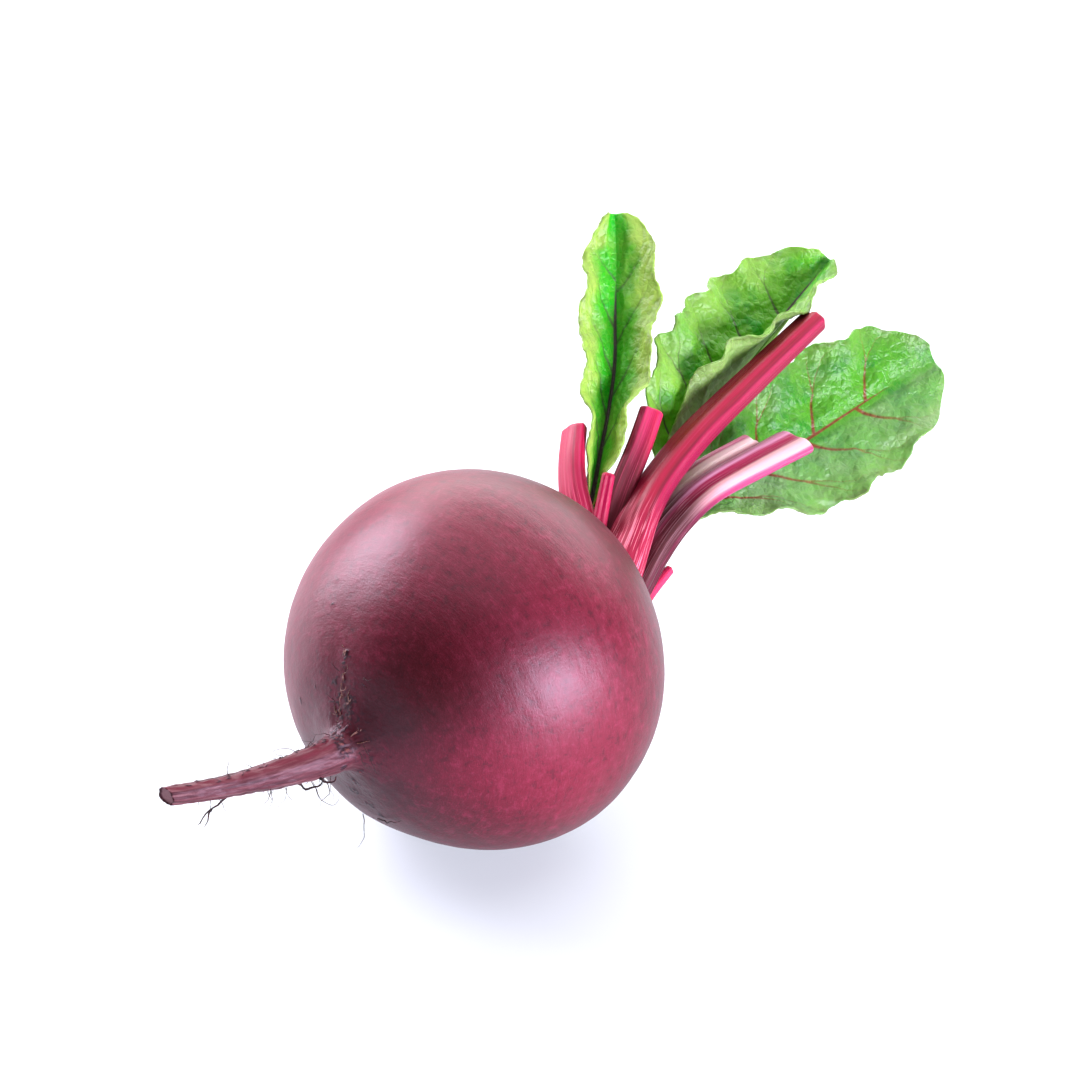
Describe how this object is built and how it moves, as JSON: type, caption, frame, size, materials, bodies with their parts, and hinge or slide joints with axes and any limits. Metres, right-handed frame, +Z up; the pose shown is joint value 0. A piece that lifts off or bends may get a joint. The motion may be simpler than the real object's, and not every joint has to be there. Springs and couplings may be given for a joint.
{
  "type": "beetroot",
  "caption": "Round beetroot lying on its side, with a thin tap root, cut red leaf stems on its crown and three young leaves.",
  "frame": {"origin": "middle of the small flat spot on the root's underside that it rests on", "axes": "+X level from the tap root towards the crown and the leaves, +Y to the left of that, +Z up"},
  "size_m": [0.2133, 0.0779, 0.0973],
  "materials": {
    "root_skin": "satin",
    "stem_red": "satin",
    "stem_striped": "satin",
    "stem_dark": "satin",
    "leaf_blade": "satin"
  },
  "bodies": {
    "root": {"storage_root": "root_skin", "stem_long": "stem_red", "stem_bowed": "stem_red", "stem_striped_near": "stem_striped", "stem_striped_far": "stem_striped", "stem_dark": "stem_dark", "leaf_upright_stem": "stem_red", "leaf_upright_blade": "leaf_blade", "leaf_folded_stem": "stem_red", "leaf_folded_blade": "leaf_blade", "leaf_broad_stem": "stem_red", "leaf_broad_blade": "leaf_blade", "stem_stub_heart": "stem_red", "stem_stub_low_right": "stem_dark", "stem_stub_low_left": "stem_dark", "stem_stub_far": "stem_dark"}
  },
  "joints": []
}
